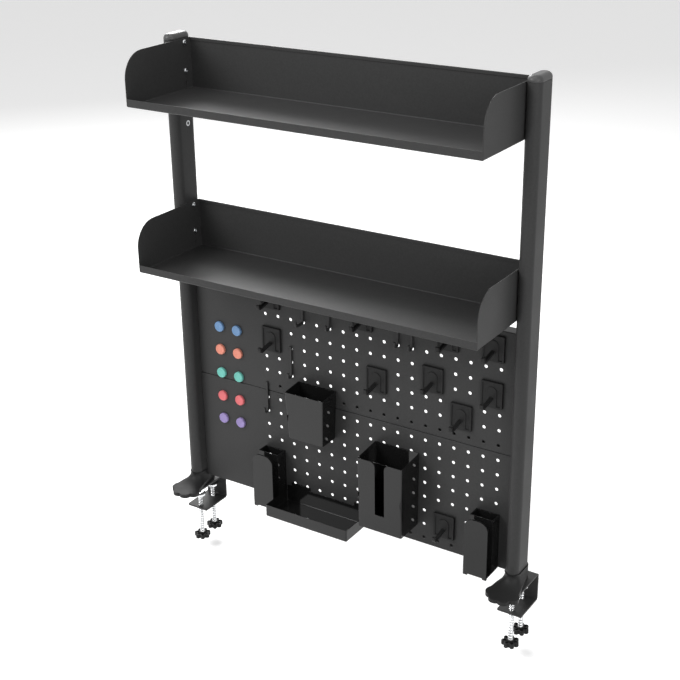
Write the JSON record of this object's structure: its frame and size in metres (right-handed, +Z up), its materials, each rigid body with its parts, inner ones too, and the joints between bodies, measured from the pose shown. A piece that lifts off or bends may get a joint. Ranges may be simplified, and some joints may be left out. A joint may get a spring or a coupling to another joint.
{
  "type": "desk-edge organizer rack with pegboard",
  "caption": "Desk-clamped rack with oval posts, open shelves and a pegboard that carries cups, a tray, holders, hooks and round magnets.",
  "frame": {"origin": "on the desk surface, midway between the two clamps, in the plane of the pegboard's front face", "axes": "+X to the user's right, +Y away from the user, +Z up"},
  "size_m": [0.6714, 0.1771, 0.904],
  "materials": {
    "powder_coat": "satin",
    "black_plastic": "matte",
    "chrome": "polished",
    "zinc": "bright",
    "magnet_blue": "satin",
    "magnet_peach": "satin",
    "magnet_mint": "satin",
    "magnet_coral": "satin",
    "magnet_lavender": "satin"
  },
  "bodies": {
    "frame": {"base_plug_left": "black_plastic", "base_plug_right": "black_plastic", "base_screws": "zinc", "board_screws": "zinc", "clamp_bracket_left": "powder_coat", "clamp_bracket_right": "powder_coat", "foot_left": "black_plastic", "foot_right": "black_plastic", "long_hook": "powder_coat", "magnets_blue": "magnet_blue", "magnets_coral": "magnet_coral", "magnets_lavender": "magnet_lavender", "magnets_mint": "magnet_mint", "magnets_peach": "magnet_peach", "pegboard_lower": "powder_coat", "pegboard_upper": "powder_coat", "plate_hook_1": "black_plastic", "plate_hook_10": "black_plastic", "plate_hook_2": "black_plastic", "plate_hook_3": "black_plastic", "plate_hook_4": "black_plastic", "plate_hook_5": "black_plastic", "plate_hook_6": "black_plastic", "plate_hook_7": "black_plastic", "plate_hook_8": "black_plastic", "plate_hook_9": "black_plastic", "post_cap_left": "black_plastic", "post_cap_right": "black_plastic", "post_left": "powder_coat", "post_right": "powder_coat", "shelf_middle": "powder_coat", "shelf_screws": "zinc", "shelf_top": "powder_coat", "slim_hook_1": "powder_coat", "slim_hook_2": "powder_coat", "slim_hook_3": "powder_coat", "slim_hook_4": "powder_coat", "slim_hook_5": "powder_coat", "threaded_inserts": "zinc"},
    "pad_left_front": {"clamp_pad_left_front": "chrome"},
    "screw_left_front": {"clamp_rod_left_front": "chrome", "star_knob_left_front": "black_plastic"},
    "pad_left_rear": {"clamp_pad_left_rear": "chrome"},
    "screw_left_rear": {"clamp_rod_left_rear": "chrome", "star_knob_left_rear": "black_plastic"},
    "pad_right_front": {"clamp_pad_right_front": "chrome"},
    "screw_right_front": {"clamp_rod_right_front": "chrome", "star_knob_right_front": "black_plastic"},
    "pad_right_rear": {"clamp_pad_right_rear": "chrome"},
    "screw_right_rear": {"clamp_rod_right_rear": "chrome", "star_knob_right_rear": "black_plastic"},
    "pen_cup_off": {"pen_cup": "powder_coat"},
    "slotted_cup_off": {"slotted_cup": "powder_coat"},
    "tray_off": {"tray": "powder_coat"},
    "holder_left_off": {"holder_left": "black_plastic"},
    "holder_right_off": {"holder_right": "black_plastic"}
  },
  "joints": [
    {"name": "pad_left_front_slide", "type": "slide", "parent": "frame", "child": "pad_left_front", "axis": [0, 0, 1], "range_m": [-0.016, 0.0195]},
    {"name": "screw_left_front_turn", "type": "hinge", "parent": "pad_left_front", "child": "screw_left_front", "pos_m": [-0.30825, -0.009, -0.06], "axis": [0, 0, 1], "range_deg": [-4636.8, 5644.8]},
    {"name": "pad_left_rear_slide", "type": "slide", "parent": "frame", "child": "pad_left_rear", "axis": [0, 0, 1], "range_m": [-0.019, 0.0165]},
    {"name": "screw_left_rear_turn", "type": "hinge", "parent": "pad_left_rear", "child": "screw_left_rear", "pos_m": [-0.30825, 0.027, -0.06], "axis": [0, 0, 1], "range_deg": [-5500.8, 4780.8]},
    {"name": "pad_right_front_slide", "type": "slide", "parent": "frame", "child": "pad_right_front", "axis": [0, 0, 1], "range_m": [-0.016, 0.0195]},
    {"name": "screw_right_front_turn", "type": "hinge", "parent": "pad_right_front", "child": "screw_right_front", "pos_m": [0.30825, -0.009, -0.06], "axis": [0, 0, 1], "range_deg": [-4636.8, 5644.8]},
    {"name": "pad_right_rear_slide", "type": "slide", "parent": "frame", "child": "pad_right_rear", "axis": [0, 0, 1], "range_m": [-0.019, 0.0165]},
    {"name": "screw_right_rear_turn", "type": "hinge", "parent": "pad_right_rear", "child": "screw_right_rear", "pos_m": [0.30825, 0.027, -0.06], "axis": [0, 0, 1], "range_deg": [-5500.8, 4780.8]},
    {"name": "pen_cup_pull_off", "type": "slide", "parent": "frame", "child": "pen_cup_off", "axis": [0, -1, 0], "range_m": [0, 0.04]},
    {"name": "slotted_cup_pull_off", "type": "slide", "parent": "frame", "child": "slotted_cup_off", "axis": [0, -1, 0], "range_m": [0, 0.04]},
    {"name": "tray_pull_off", "type": "slide", "parent": "frame", "child": "tray_off", "axis": [0, -1, 0], "range_m": [0, 0.04]},
    {"name": "holder_left_pull_off", "type": "slide", "parent": "frame", "child": "holder_left_off", "axis": [0, -1, 0], "range_m": [0, 0.04]},
    {"name": "holder_right_pull_off", "type": "slide", "parent": "frame", "child": "holder_right_off", "axis": [0, -1, 0], "range_m": [0, 0.04]}
  ],
  "couplings": [
    {"joint": "screw_left_front_turn", "follows": "pad_left_front_slide", "rad_per_m": 5026.5},
    {"joint": "screw_left_rear_turn", "follows": "pad_left_rear_slide", "rad_per_m": 5026.5},
    {"joint": "screw_right_front_turn", "follows": "pad_right_front_slide", "rad_per_m": 5026.5},
    {"joint": "screw_right_rear_turn", "follows": "pad_right_rear_slide", "rad_per_m": 5026.5}
  ]
}
